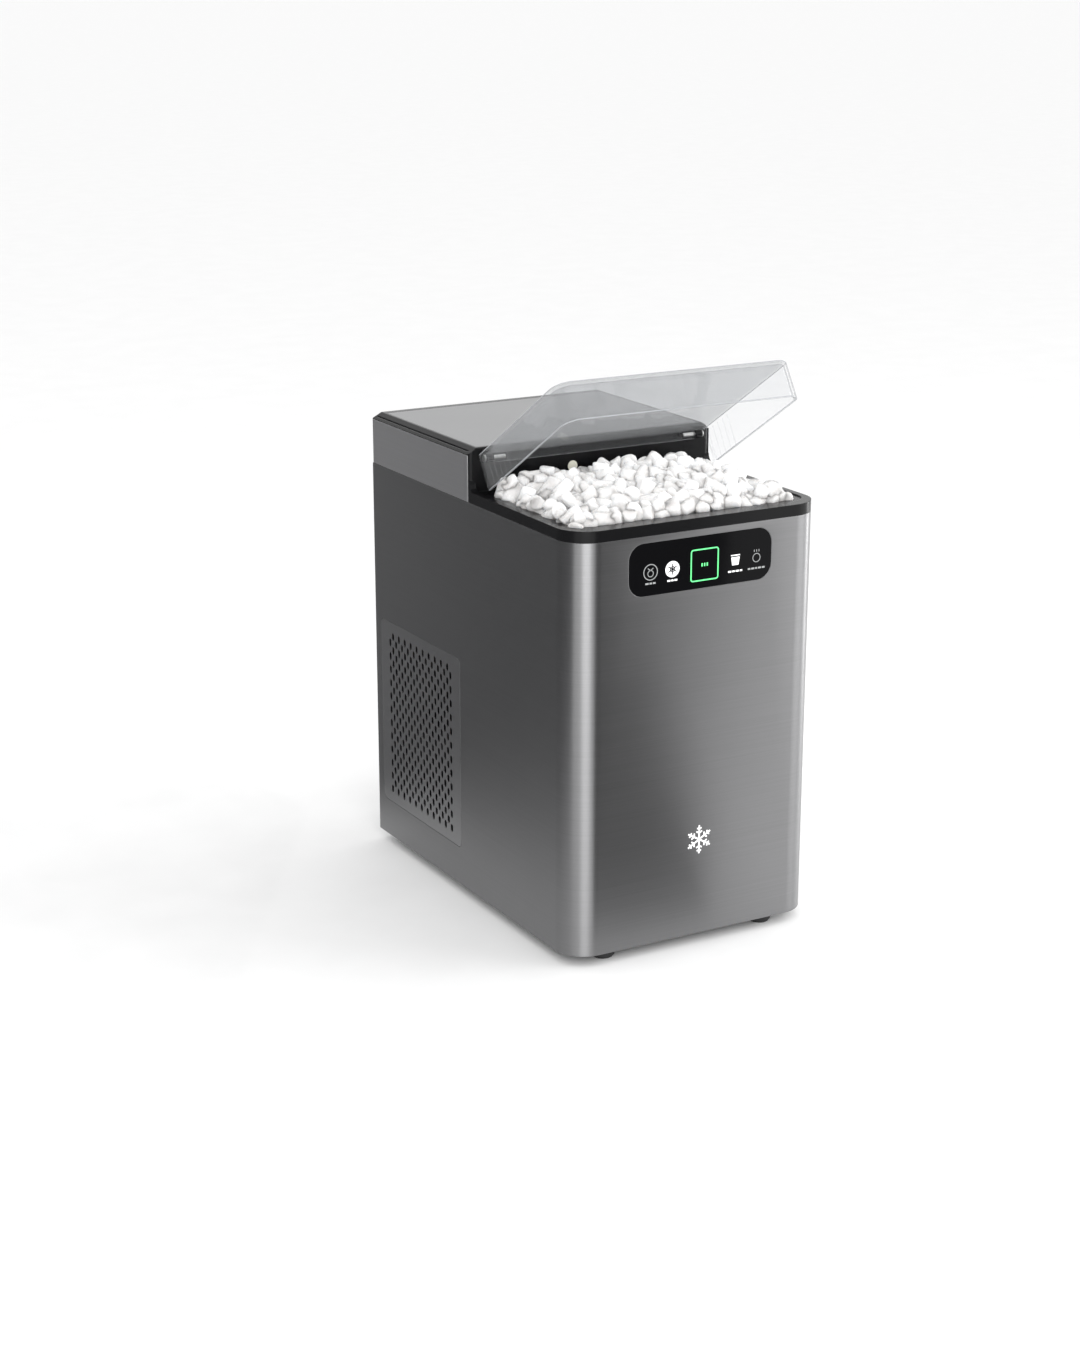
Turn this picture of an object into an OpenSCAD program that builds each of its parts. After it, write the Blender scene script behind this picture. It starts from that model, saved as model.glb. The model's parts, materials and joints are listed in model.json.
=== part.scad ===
// Countertop nugget ice maker with a hinged clear lid, a lift-out basket and its inner machinery.
// Millimetres, +Z up, front towards -Y, origin on the ground under the middle of the cabinet.

/* [Cabinet] */
// Width of the cabinet
body_w = 250; // [246:1:254]
// Depth of the cabinet, front to back
body_d = 375; // [373:1:377]
// Height of the steel wrap
wrap_h = 366; // [366:1:370]
// Height of the rubber feet
foot_h = 10; // [10:1:12]
// Radius of the two front corners
corner_r = 28; // [24:1:32]
// Thickness of the steel wrap
sheet = 1; // [0.8:0.1:1]

/* [Top] */
// Height of the rim above the wrap
rim_h = 10; // [10:1:12]
// Height of the side bands of the raised housing above the wrap
band_h = 42; // [42:1:44]
// Height of the chamfer round the deck
chamfer_h = 6; // [5:0.5:6]
// Width of the chamfer round the deck
chamfer_w = 8; // [7:0.5:8]
// Front face of the raised housing
house_y = -6; // [-6:0.5:-5]

/* [Lid] */
// Angle at which the lid stands open
lid_open = 32; // [0:1:60]
// Length of the lid in front of its hinge axis
lid_l = 160.5; // [156:0.5:160.5]
// Width of the lid
lid_w = 234; // [232:1:234]
// Wall thickness of the lid
lid_t = 2.5; // [2:0.1:3]
// Depth of the lid's skirt below its hinge axis
skirt_d = 30.1; // [28:0.1:30.4]
// Radius of the lid's front corners
lid_r = 16; // [12:1:24]

/* [Control panel] */
// Width of the glass
glass_w = 142; // [130:1:144]
// Height of the glass
glass_h = 45; // [40:1:45]

/* [Side vents] */
// Columns of slots in each side vent
vent_cols = 21; // [15:1:21]
// Rows of slots in each side vent
vent_rows = 12; // [8:1:12]
// Distance between columns
vent_pitch_y = 6.2; // [6:0.1:6.2]
// Distance between rows
vent_pitch_z = 13.4; // [12:0.1:13.4]

/* [Gear train] */
// Gear module
gear_m = 1.5; // [1.5]
// Teeth of both small gears
pinion_teeth = 12; // [12]
// Teeth of both large gears
wheel_teeth = 48; // [48]

/* [Hidden] */

$fn = 64;
eps = 0.01;
gap = 0.3;             // assembly gap between covers

half_w = body_w / 2;
half_d = body_d / 2;
wrap_top = foot_h + wrap_h;
rim_top = wrap_top + rim_h;
band_top = wrap_top + band_h;
deck_top = band_top + chamfer_h;
deck_y0 = house_y + 5; // the steel panel in the deck
deck_y1 = half_d - 12;

// Hinge of the lid
hinge_y = house_y - 6;
hinge_z = band_top - 2.5;
barrel_r = 4.5;
pin_r = 2;
ear_x0 = 104.5;
ear_x1 = 111.5;
rib_pitch = 9;

// Rim, ledge and mouth of the ice bin
lip_x = lid_w / 2 + 1.5;
lip_y = hinge_y - lid_l - 2.5;
ledge_z = rim_top - 1;
mouth_x = 110;
mouth_y0 = lip_y + 8;
mouth_y1 = -16;

// Bin liner and basket
liner_x = 107.5;
liner_y0 = -165;
liner_y1 = -18.5;
liner_floor = foot_h + 198;
liner_t = 2.5;
basket_w = 162;        // at its base
basket_d = 84;
basket_y = -92;
basket_h = 106;
handle_h = 150;
handle_w = 42;
flare = 1.13;          // the rim's width over the base's
basket_t = 2.2;
basket_z = liner_floor + 0.3;

// Control panel
panel_z = foot_h + 337.5;
glass_r = 14;

// Side vents
vent_y = 95;
vent_z = foot_h + 127;
vent_w = 162;
vent_h = 182;

// Auger unit
auger_x = 45;
auger_y = 85;
gear_distance = gear_m * (pinion_teeth + wheel_teeth) / 2;
idler_y = auger_y + gear_distance;
gear_z1 = 124.5;       // lower gear level
gear_z2 = 136.5;       // upper gear level
gear_h = 9;
barrel_z0 = 153;
barrel_z1 = 340;
chute_z = 366;

// Fan
fan_y = 98;
fan_z = 120;
fan_r = 61;

// Drain and power inlet on the back
drain_x = 85;
drain_z = 38;
inlet_x = -20;
inlet_z = 44;
back_y = half_d - 1;

// ---------- shared shapes ----------

module rounded_rect(w, d, r) {
    square([w - 2 * r, d], center = true);
    square([w, d - 2 * r], center = true);
    for (sx = [-1, 1], sy = [-1, 1])
        translate([sx * (w / 2 - r), sy * (d / 2 - r)]) circle(r = r);
}

// Plan of the cabinet, taken in by an inset on all sides: round front corners, small rear ones
module cabinet_plan(inset = 0, rear_r = 2) {
    w = half_w - inset;
    f = half_d - inset;
    r = corner_r - inset;
    q = max(rear_r - inset, 1);
    for (s = [-1, 1]) {
        translate([s * (w - r), -f + r]) circle(r = r);
        translate([s * (w - q), f - q]) circle(r = q);
    }
    translate([-w, -f + r]) square([2 * w, 2 * f - r - q]);
    translate([-w + r, -f]) square([2 * (w - r), 2 * f - q]);
    translate([-w + q, 0]) square([2 * (w - q), f]);
}

module plan_slab(z0, z1) { translate([0, 0, z0]) linear_extrude(z1 - z0) children(); }

// A 2D shape drawn in X and Z, extruded from y0 to y1
module along_y(y0, y1) { translate([0, y1, 0]) rotate([90, 0, 0]) linear_extrude(y1 - y0) children(); }

// A 2D shape drawn in Y and Z, extruded from x0 to x1
module along_x(x0, x1) { translate([x0, 0, 0]) rotate([90, 0, 90]) linear_extrude(x1 - x0) children(); }

module block(x0, x1, y0, y1, z0, z1) { translate([x0, y0, z0]) cube([x1 - x0, y1 - y0, z1 - z0]); }

module post(x, y, r, z0, z1) { translate([x, y, z0]) cylinder(r = r, h = z1 - z0); }

module rod_x(y, z, r, x0, x1) { translate([x0, y, z]) rotate([0, 90, 0]) cylinder(r = r, h = x1 - x0); }

module rod_y(x, z, r, y0, y1) { translate([x, y1, z]) rotate([90, 0, 0]) cylinder(r = r, h = y1 - y0); }

// ---------- pipes and hoses, swept along routes with rounded bends ----------

function unit(v) = v / norm(v);
function bend(a, p, b, d, n) =
    let (s = p + d * unit(a - p), e = p + d * unit(b - p))
    [for (i = [0:n]) let (t = i / n) (1 - t) * (1 - t) * s + 2 * t * (1 - t) * p + t * t * e];
function rounded_route(p, d, n = 5) = concat([p[0]],
    [for (i = [1:len(p) - 2]) each bend(p[i - 1], p[i], p[i + 1], d, n)], [p[len(p) - 1]]);
function tangents(p) = [for (i = [0:len(p) - 1]) unit(p[min(i + 1, len(p) - 1)] - p[max(i - 1, 0)])];
function normals(t, n, i = 0) = i == len(t) ? [] :
    let (m = unit(n - (n * t[i]) * t[i])) concat([m], normals(t, m, i + 1));

module sweep(p, r, sides = 8, start = [0.31, 0.17, 0.94]) {
    t = tangents(p);
    n = normals(t, start);
    last = len(p) - 1;
    points = [for (i = [0:last], k = [0:sides - 1]) let (a = 360 * k / sides)
        p[i] + r * (cos(a) * n[i] + sin(a) * cross(t[i], n[i]))];
    faces = concat([[for (k = [0:sides - 1]) k]],
        [for (i = [0:last - 1], k = [0:sides - 1]) let (m = (k + 1) % sides, a = i * sides, b = a + sides)
            each [[a + k, b + k, b + m], [a + k, b + m, a + m]]],
        [[for (k = [sides - 1:-1:0]) last * sides + k]]);
    polyhedron(points, faces);
}

// ---------- gears: involute flanks, shortened teeth, a little backlash ----------

pressure = 25;
addendum = 0.8;
dedendum = 1;
backlash = 0.12;
function involute_angle(rb, r) = let (f = acos(min(1, rb / r))) tan(f) * 180 / PI - f;
function flank(rp, n, r) = 90 / n - backlash / 2 / rp * 180 / PI
    + involute_angle(rp * cos(pressure), rp) - involute_angle(rp * cos(pressure), max(r, rp * cos(pressure)));
function gear_outline(n) =
    let (rp = gear_m * n / 2, root = rp - dedendum * gear_m, tip = rp + addendum * gear_m,
        low = max(root + eps, rp * cos(pressure)),
        radii = [root, low, low + (tip - low) / 3, low + 2 * (tip - low) / 3, tip])
    [for (k = [0:n - 1]) each concat(
        [for (r = radii) let (a = 360 * k / n - flank(rp, n, r)) r * [cos(a), sin(a)]],
        [for (i = [4:-1:0]) let (r = radii[i], a = 360 * k / n + flank(rp, n, r)) r * [cos(a), sin(a)]])];
module gear(n, h, turn = 0) { rotate(turn) linear_extrude(h) polygon(gear_outline(n)); }

// ---------- cabinet ----------

module base_pan() color("#8f9194") difference() {
    union() {
        plan_slab(foot_h, foot_h + 1.5) pan_plan(0);
        plan_slab(foot_h, foot_h + 14) difference() {
            pan_plan(0);
            pan_plan(1.2);
        }
    }
    for (x = [-60:20:60], y = [-30, 0]) post(x, y, 4, foot_h - 1, foot_h + 3);
}

module pan_plan(inset) {
    intersection() {
        cabinet_plan(sheet + 0.4 + inset, 4);
        translate([-half_w, -half_d]) square([body_w, body_d - 2.5 - inset]);
    }
}

module feet() color("#2b2c2e") for (x = [-82, 82], y = [-168, 165]) translate([x, y, 0]) difference() {
    union() {
        cylinder(r = 9, h = 2);
        translate([0, 0, 2]) cylinder(r = 10.5, h = foot_h - 2);
    }
    translate([0, 0, -1]) cylinder(r = 3, h = 4);
}

module steel_wrap() color("#55575a") difference() {
    union() {
        plan_slab(foot_h, wrap_top) difference() {
            cabinet_plan(0, sheet + 0.2);
            cabinet_plan(sheet, sheet + 0.2);
            translate([-half_w + sheet, half_d - 5]) square([body_w - 2 * sheet, 10]);
        }
        for (s = [-1, 1]) mirror([s < 0 ? 1 : 0, 0, 0])
            block(half_w - 10, half_w, half_d - sheet, half_d, foot_h, wrap_top);
    }
    along_y(-half_d - 1, -half_d + 3)
        translate([0, panel_z]) rounded_rect(glass_w + 2 * gap, glass_h + 2 * gap, glass_r + gap);
    for (s = [-1, 1]) along_x(s > 0 ? half_w - 2 : -half_w - 2, s > 0 ? half_w + 2 : -half_w + 2)
        translate([vent_y, vent_z]) rounded_rect(vent_w, vent_h, 6);
}

module vent_slot() polygon([[0, -4.3], [2.1, -2.3], [2.1, 2.3], [0, 4.3], [-2.1, 2.3], [-2.1, -2.3]]);

module vent_plate() difference() {
    rounded_rect(vent_w - 2 * gap, vent_h - 2 * gap, 6 - gap);
    for (i = [0:vent_cols - 1], j = [0:vent_rows - 1])
        translate([(i - (vent_cols - 1) / 2) * vent_pitch_y,
            (j - (vent_rows - 1) / 2 - 0.25 + (i % 2) / 2) * vent_pitch_z]) vent_slot();
}
module vent_grille_left() color("#505255")
    along_x(-half_w, -half_w + sheet) translate([vent_y, vent_z]) vent_plate();
module vent_grille_right() color("#505255")
    along_x(half_w - sheet, half_w) translate([vent_y, vent_z]) vent_plate();

module rear_panel() color("#3a3b3d") difference() {
    along_y(back_y - 1.2, back_y)
        translate([0, (wrap_top + foot_h) / 2]) rounded_rect(body_w - 2 * sheet - 0.8, wrap_h - 4, 3);
    for (s = [-1, 1], i = [0:9]) along_y(half_d - 5, half_d + 5)
        translate([s * 52, 170 + i * 16]) rounded_rect(76, 5, 2.4);
    rod_y(drain_x, drain_z, 11.3, half_d - 5, half_d + 5);
    along_y(half_d - 5, half_d + 5) translate([inlet_x, inlet_z]) rounded_rect(29, 21, 2);
    for (p = screw_places()) rod_y(p[0], p[1], 1.8, half_d - 5, half_d + 5);
}

function screw_places() = [for (x = [-104, 104], z = [30, 150, 362]) [x, z], [20, 30], [0, 362]];

module rear_screws() color("#b8babd") for (p = screw_places()) difference() {
    union() {
        rod_y(p[0], p[1], 3.4, back_y, half_d);
        rod_y(p[0], p[1], 1.7, back_y - 7, back_y);
    }
    for (a = [0, 90]) translate([p[0], half_d, p[1]]) rotate([0, a, 0]) cube([4, 1, 0.7], center = true);
}

// ---------- top moulding ----------

// Plan of the raised housing: its front corners are rounded, its rear ones are the cabinet's
module house_plan(inset = 0) intersection() {
    cabinet_plan(inset);
    translate([0, house_y + inset + half_d]) rounded_rect(body_w - 2 * inset, 2 * half_d, 5);
}

module house_body() intersection() {
    plan_slab(wrap_top, deck_top) house_plan();
    along_y(house_y - 1, half_d + 1) polygon([[-half_w, wrap_top - 1], [half_w, wrap_top - 1],
        [half_w, band_top], [half_w - chamfer_w, deck_top], [-half_w + chamfer_w, deck_top], [-half_w, band_top]]);
    along_x(-half_w - 1, half_w + 1) polygon([[house_y, wrap_top - 1], [half_d, wrap_top - 1],
        [half_d, band_top], [half_d - chamfer_w / 2, deck_top], [house_y + 1, deck_top], [house_y, deck_top - 1]]);
}

module mouth_plan(grow = 0) translate([0, (mouth_y0 + mouth_y1) / 2])
    rounded_rect(2 * mouth_x + 2 * grow, mouth_y1 - mouth_y0 + 2 * grow, 18 + grow);

module top_frame() color("#26272a") difference() {
    union() {
        plan_slab(wrap_top, rim_top) cabinet_plan();
        house_body();
        plan_slab(wrap_top - 4.5, wrap_top) difference() {
            cabinet_plan(sheet + 0.4);
            cabinet_plan(sheet + 2.4);
            translate([-half_w, half_d - 4]) square([body_w, 10]);
        }
        // concave step from the side bands down to the rim
        for (s = [-1, 1]) mirror([s < 0 ? 1 : 0, 0, 0]) difference() {
            block(lip_x, half_w, house_y - 9, house_y + 9, rim_top - 1, rim_top + 9);
            rod_x(house_y - 9, rim_top + 9, 9, lip_x - 1, half_w + 1);
        }
    }
    // recess for the lid's skirt
    plan_slab(ledge_z, rim_top + 1) intersection() {
        translate([0, (lip_y + house_y + 30) / 2])
            rounded_rect(2 * lip_x, house_y + 30 - lip_y, lid_r + 1.5);
        translate([-half_w, -half_d]) square([body_w, half_d + house_y]);
    }
    plan_slab(wrap_top - 1, rim_top + 1) mouth_plan();
    // hollow of the raised housing
    plan_slab(wrap_top - 1, deck_top - 3.5) translate([0, (house_y + 3 + half_d - 3) / 2])
        rounded_rect(body_w - 6, half_d - 3 - house_y - 3, 5);
    // seat of the deck panel
    plan_slab(deck_top - 1.5, deck_top + 1) deck_plan(0.3);
    rod_y(-50, deck_top - 26, 4, house_y - 1, house_y + 4);
    rod_y(-20, deck_top - 26, 5, house_y - 1, house_y + 4);
}

module deck_plan(grow = 0) translate([0, (deck_y0 + deck_y1) / 2])
    rounded_rect(body_w - 2 * chamfer_w - 4 + 2 * grow, deck_y1 - deck_y0 + 2 * grow, 3 + grow);

module top_panel() color("#b4b6b8") plan_slab(deck_top - 1.5, deck_top) deck_plan();

// ---------- lid ----------

// Places what is drawn with the lid closed and the hinge axis on the X axis
module on_lid() { translate([0, hinge_y, hinge_z]) rotate([-lid_open, 0, 0]) children(); }

module lid_plan(inset) intersection() {
    translate([0, -lid_l / 2 + 20]) rounded_rect(lid_w - 2 * inset, lid_l - 2 * inset + 40, lid_r - inset);
    translate([-lid_w, -lid_l]) square([2 * lid_w, lid_l]);
}

module lid_shell() color("#d8e2e6", 0.4) on_lid() difference() {
    union() {
        difference() {
            plan_slab(-skirt_d, barrel_r) lid_plan(0);
            plan_slab(-skirt_d - 1, barrel_r - 3) lid_plan(lid_t);
        }
        rod_x(0, 0, barrel_r, -ear_x0 + 1.5, ear_x0 - 1.5);
        // short ribs inside both side skirts, near the hinge
        for (s = [-1, 1], i = [0:4]) mirror([s < 0 ? 1 : 0, 0, 0])
            block(lid_w / 2 - lid_t - 0.8, lid_w / 2 - lid_t + eps, -10 - rib_pitch * i, -8.6 - rib_pitch * i, -skirt_d, barrel_r - 2);
    }
    for (s = [-1, 1]) mirror([s < 0 ? 1 : 0, 0, 0]) {
        block(ear_x0 - 1.5, ear_x1 + 2.5, -6.5, 6, -7, barrel_r + 1);
        rod_x(0, 0, pin_r + 0.05, ear_x0 - 13.5, ear_x0);
    }
}

module hinge_bracket() difference() {
    union() {
        rod_x(hinge_y, hinge_z, 4, ear_x0, ear_x1);
        block(ear_x0, ear_x1, hinge_y, house_y, hinge_z - 4, hinge_z + 4);
    }
    rod_x(hinge_y, hinge_z, pin_r + 0.02, ear_x0 - 1, ear_x1 + 1);
}
module hinge_bracket_left() color("#1b1c1e") mirror([1, 0, 0]) hinge_bracket();
module hinge_bracket_right() color("#1b1c1e") hinge_bracket();

module hinge_pin() {
    rod_x(hinge_y, hinge_z, pin_r, ear_x0 - 12.5, ear_x1 + 0.5);
    rod_x(hinge_y, hinge_z, pin_r + 1, ear_x1, ear_x1 + 1.5);
}
module hinge_pin_left() color("#c9ccd0") mirror([1, 0, 0]) hinge_pin();
module hinge_pin_right() color("#c9ccd0") hinge_pin();

// ---------- ice bin ----------

module liner_plan(grow) translate([0, (liner_y0 + liner_y1) / 2])
    rounded_rect(2 * liner_x + 2 * grow, liner_y1 - liner_y0 + 2 * grow, 16 + grow);

module chute_window(grow = 0) block(auger_x - 22 - grow, auger_x + 22 + grow,
    liner_y1 - 1, house_y + 1, 341 - grow, 367.5 + grow);

module bin_liner() color("#e9ebec") difference() {
    union() {
        plan_slab(liner_floor - liner_t, wrap_top) liner_plan(liner_t);
        plan_slab(wrap_top - 2, wrap_top) liner_plan(8);
    }
    plan_slab(liner_floor, wrap_top + 1) liner_plan(0);
    for (x = [-75:30:75], y = [-152, -32]) post(x, y, 3, liner_floor - 5, liner_floor + 1);
    chute_window();
}

module bin_insulation() color("#e8dfc4") difference() {
    plan_slab(liner_floor + 2, wrap_top - 2.2) translate([0, -90.75]) rounded_rect(239, 165.5, 18);
    plan_slab(liner_floor, wrap_top) liner_plan(liner_t + 0.2);
    chute_window(2.4);
    translate([0, 0, 12]) chute_window(2.4);
}

module basket_shell(inset, z0, z1) translate([0, basket_y, z0])
    linear_extrude(z1 - z0, scale = flare, slices = 1, $fn = 48)
        rounded_rect(basket_w - 2 * inset, basket_d - 2 * inset, 17 - inset);

// Outline of the basket seen from its end: the body and a handle with rounded roots
module basket_outline() translate([basket_y, basket_z]) difference() {
    union() {
        translate([-basket_d, 0]) square([2 * basket_d, basket_h]);
        translate([0, (basket_h + handle_h) / 2 - 10]) rounded_rect(handle_w, handle_h - basket_h + 20, 8);
        for (s = [-1, 1]) translate([s * (handle_w / 2 + 3.5), basket_h + 3]) difference() {
            square([8, 8], center = true);
            translate([s * 3.5, 4]) circle(r = 7);
        }
    }
    translate([0, handle_h - 15]) rounded_rect(25, 13, 6.4);
}

module ice_basket() color("#f4f6f8") difference() {
    intersection() {
        difference() {
            basket_shell(0, basket_z, basket_z + handle_h);
            basket_shell(basket_t, basket_z + 2.4, basket_z + handle_h + 2);
        }
        along_x(-half_w, half_w) basket_outline();
    }
    for (i = [-2:2], j = [-1:1]) plan_slab(basket_z - 1, basket_z + 4)
        translate([i * 24, basket_y + j * 22]) rounded_rect(13, 4, 1.9);
}

// ---------- water ----------

tank_z0 = 150;
tank_z1 = 203;
module tank_plan(inset) translate([0, -94]) rounded_rect(212 - 2 * inset, 148 - 2 * inset, 14 - inset);

module water_tank() color("#cfd6da") difference() {
    plan_slab(tank_z0, tank_z1) tank_plan(0);
    plan_slab(tank_z0 + 2.5, tank_z1 + 1) tank_plan(2.5);
    rod_y(100, tank_z0 + 12, 3, -40, 0);
    post(90, -40, 3, tank_z0 - 5, tank_z0 + 5);
}

module mid_shelf() color("#9a9da0") difference() {
    union() {
        block(-121, 121, -168, -12, tank_z0 - 1.6, tank_z0);
        block(92, 121, -13, 32, tank_z0 - 1.6, tank_z0);
        for (s = [-1, 1]) mirror([s < 0 ? 1 : 0, 0, 0])
            block(119.5, 121, -155, -14, foot_h + 1.5, tank_z0);
    }
    post(90, -40, 5, tank_z0 - 5, tank_z0 + 5);
}

module water_pump() color("#2f3338") {
    block(95, 119, -6, 26, tank_z0, tank_z0 + 28);
    post(107, 10, 10, tank_z0 + 28, tank_z0 + 34);
    rod_y(100, tank_z0 + 12, 2.8, -24, -6);
    post(113, 20, 2.8, tank_z0 + 28, tank_z0 + 38);
}

module water_hose() color("#dfe7ea")
    sweep(rounded_route([[113, 20, tank_z0 + 38], [113, 20, 201], [95, 50, 201], [88, 55, 169.5],
        [67, 70, 169.5]], 9), 3.6, 10);

module float_stem() color("#e4e7ea") {
    post(-80, -145, 2.5, tank_z0 + 4.5, tank_z0 + 46);
    post(-80, -145, 7, tank_z0 + 2.5, tank_z0 + 4.5);
    post(-80, -145, 4.5, tank_z0 + 46, tank_z0 + 48);
}
module float() color("#3d7fb8") difference() {
    post(-80, -145, 10, tank_z0 + 4.8, tank_z0 + 18.8);
    post(-80, -145, 2.9, tank_z0, tank_z0 + 30);
}

module drain_port() color("#3a3b3d") difference() {
    union() {
        rod_y(drain_x, drain_z, 11, back_y - 20, back_y);
        rod_y(drain_x, drain_z, 4, back_y - 32, back_y - 20);
    }
    rod_y(drain_x, drain_z, 9, back_y - 12, half_d);
    rod_y(drain_x, drain_z, 4.2, back_y - 18, back_y);
    rod_y(drain_x, drain_z, 2.6, back_y - 40, back_y);
}
module drain_plug() color("#d9dcdf") {
    rod_y(drain_x, drain_z, 4, back_y - 17, back_y - 11);
    rod_y(drain_x, drain_z, 8.6, back_y - 12, back_y - 9);
    difference() {
        block(drain_x - 6, drain_x + 6, back_y - 9.5, half_d - 0.3, drain_z - 1.5, drain_z + 1.5);
        post(drain_x, back_y - 3, 2.2, drain_z - 5, drain_z + 5);
    }
}
module drain_hose() color("#dfe7ea")
    sweep(rounded_route([[90, -40, tank_z0], [90, -40, 60], [100, 10, 38],
        [drain_x + 8, 120, 38], [drain_x, 140, 38], [drain_x, back_y - 32, 38]], 12), 4, 10);

// ---------- power inlet and electronics ----------

module power_inlet() color("#1c1d1f") {
    difference() {
        union() {
            along_y(back_y - 22, back_y) translate([inlet_x, inlet_z]) rounded_rect(28, 20, 1.5);
            along_y(back_y, half_d) translate([inlet_x, inlet_z]) rounded_rect(48, 26, 3);
        }
        along_y(back_y - 18, half_d + 1) translate([inlet_x, inlet_z]) rounded_rect(24, 16, 3);
        for (s = [-1, 1]) rod_y(inlet_x + s * 20, inlet_z, 1.7, back_y - 1, half_d + 1);
    }
    for (p = [[-7, -2], [0, 2], [7, -2]])
        block(inlet_x + p[0] - 1, inlet_x + p[0] + 1, back_y - 19, back_y - 5, inlet_z + p[1] - 2, inlet_z + p[1] + 2);
}

module control_housing() color("#18191b") difference() {
    block(-76, 76, -half_d + sheet + 0.1, -half_d + 11.5, panel_z - 24.5, panel_z + 23.7);
    along_y(-half_d, -half_d + 2.1) translate([0, panel_z])
        rounded_rect(glass_w + 0.3, glass_h + 0.3, glass_r + 0.15);
    block(-66, 66, -half_d + 1, -half_d + 9.5, panel_z - 18, panel_z + 18);
    block(52, 62, -half_d + 5, -half_d + 9, panel_z - 30, panel_z - 10);
}
module control_glass() color("#0a0b0c")
    along_y(-half_d, -half_d + 2) translate([0, panel_z]) rounded_rect(glass_w, glass_h, glass_r);

module control_pcb() color("#1f6b3a") {
    block(-64, 64, -half_d + 6, -half_d + 7.6, panel_z - 16, panel_z + 16);
    for (x = [-50, -28, 34.5, 56]) rod_y(x, panel_z - 2.5, 5, -half_d + 3, -half_d + 6);
    block(-11, 19, -half_d + 3, -half_d + 6, panel_z - 15, panel_z + 12);
}

module power_board() color("#2a6a45") {
    block(112, 113.6, -150, -40, 30, 112);
    for (y = [-144, -46], z = [36, 106]) rod_x(y, z, 2.5, 113.6, 119.5);
    rod_x(-130, 50, 8, 92, 112);
    rod_x(-108, 50, 6, 96, 112);
    block(88, 112, -92, -60, 40, 76);
    block(98, 112, -140, -112, 80, 100);
    block(104, 112, -100, -60, 92, 104);
}

module wire_harness() color("#17181a")
    sweep(rounded_route([[57, -half_d + 7, panel_z - 24.5], [57, -half_d + 7, 200], [96, -176, 150],
        [105, -165, 90], [105, -140, 90]], 7), 2.2, 8);

module ice_full_sensor() color("#111214") {
    rod_y(-50, deck_top - 26, 3.8, house_y - 0.4, house_y + 3);
    block(-60, -40, house_y + 3, house_y + 13, deck_top - 33, deck_top - 19);
}
module bin_lamp() color("#f5f2d8") {
    rod_y(-20, deck_top - 26, 4.8, house_y - 0.4, house_y + 3);
    block(-29, -11, house_y + 3, house_y + 9, deck_top - 33, deck_top - 19);
}

// ---------- refrigeration ----------

comp_x = 12;
comp_y = -95;
module compressor() color("#1d1e20") {
    intersection() {
        post(comp_x, comp_y, 54, 26, 130);
        translate([comp_x, comp_y, 78]) sphere(r = 72, $fn = 96);
    }
    block(comp_x - 66, comp_x - 50, comp_y - 18, comp_y + 18, 62, 104);
}
module compressor_base() color("#303134") difference() {
    block(comp_x - 62, comp_x + 62, comp_y - 50, comp_y + 50, 24, 26);
    for (x = [-52, 52], y = [-40, 40]) post(comp_x + x, comp_y + y, 5.2, 20, 30);
}
module compressor_grommets() color("#222324") for (x = [-52, 52], y = [-40, 40]) difference() {
    union() {
        post(comp_x + x, comp_y + y, 9, foot_h + 1.5, 24);
        post(comp_x + x, comp_y + y, 5, 24, 28);
    }
    post(comp_x + x, comp_y + y, 2.5, 0, 40);
}

cond_x = -105;
cond_y0 = 30;
cond_pitch = 30;
module condenser_fins() color("#c3c7ca") for (i = [0:23]) along_y(cond_y0 + 5.6 * i, cond_y0 + 5.6 * i + 1)
    difference() {
        translate([cond_x, 120]) square([26, 178], center = true);
        for (k = [0:5]) translate([cond_x, 45 + cond_pitch * k]) circle(r = 4.2);
    }
module condenser_tubes() color("#b5713c") {
    for (k = [0:5]) rod_y(cond_x, 45 + cond_pitch * k, 4, cond_y0 - 6, cond_y0 + 136);
    for (k = [0:4]) translate([cond_x, k % 2 == 0 ? cond_y0 + 136 : cond_y0 - 6, 60 + cond_pitch * k])
        rotate([k % 2 == 0 ? 0 : 180, 90, 0])
            rotate_extrude(angle = 180) translate([cond_pitch / 2, 0]) circle(r = 4);
}

module fan_shroud() color("#2a2b2d") difference() {
    union() {
        along_x(-91, -89) translate([fan_y, fan_z]) rounded_rect(146, 146, 8);
        rod_x(fan_y, fan_z, fan_r + 4, -90, -62);
        block(-91, -62, fan_y - 40, fan_y + 40, foot_h + 1.5, fan_z - 60);
    }
    difference() {
        rod_x(fan_y, fan_z, fan_r + 2, -95, -60);
        for (a = [0, 60, 120]) translate([-63, fan_y, fan_z]) rotate([a, 0, 0])
            cube([2, 2 * fan_r + 5, 6], center = true);
        rod_x(fan_y, fan_z, 20, -64, -62);
    }
    rod_x(fan_y, fan_z, 4, -70, -60);
}
module fan_motor() color("#3b3d40") difference() {
    rod_x(fan_y, fan_z, 19, -62, -32);
    rod_x(fan_y, fan_z, 3.1, -63, -50);
}
module fan_blades() color("#3f4245") {
    rod_x(fan_y, fan_z, 3, -66, -52);
    rod_x(fan_y, fan_z, 16, -84, -66);
    intersection() {
        union() for (a = [0:72:288]) translate([-75, fan_y, fan_z]) rotate([a, 0, 0])
            translate([0, 0, 35]) rotate([0, 0, 28]) cube([2, 34, 50], center = true);
        rod_x(fan_y, fan_z, fan_r - 1, -85, -66);
    }
}

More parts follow.
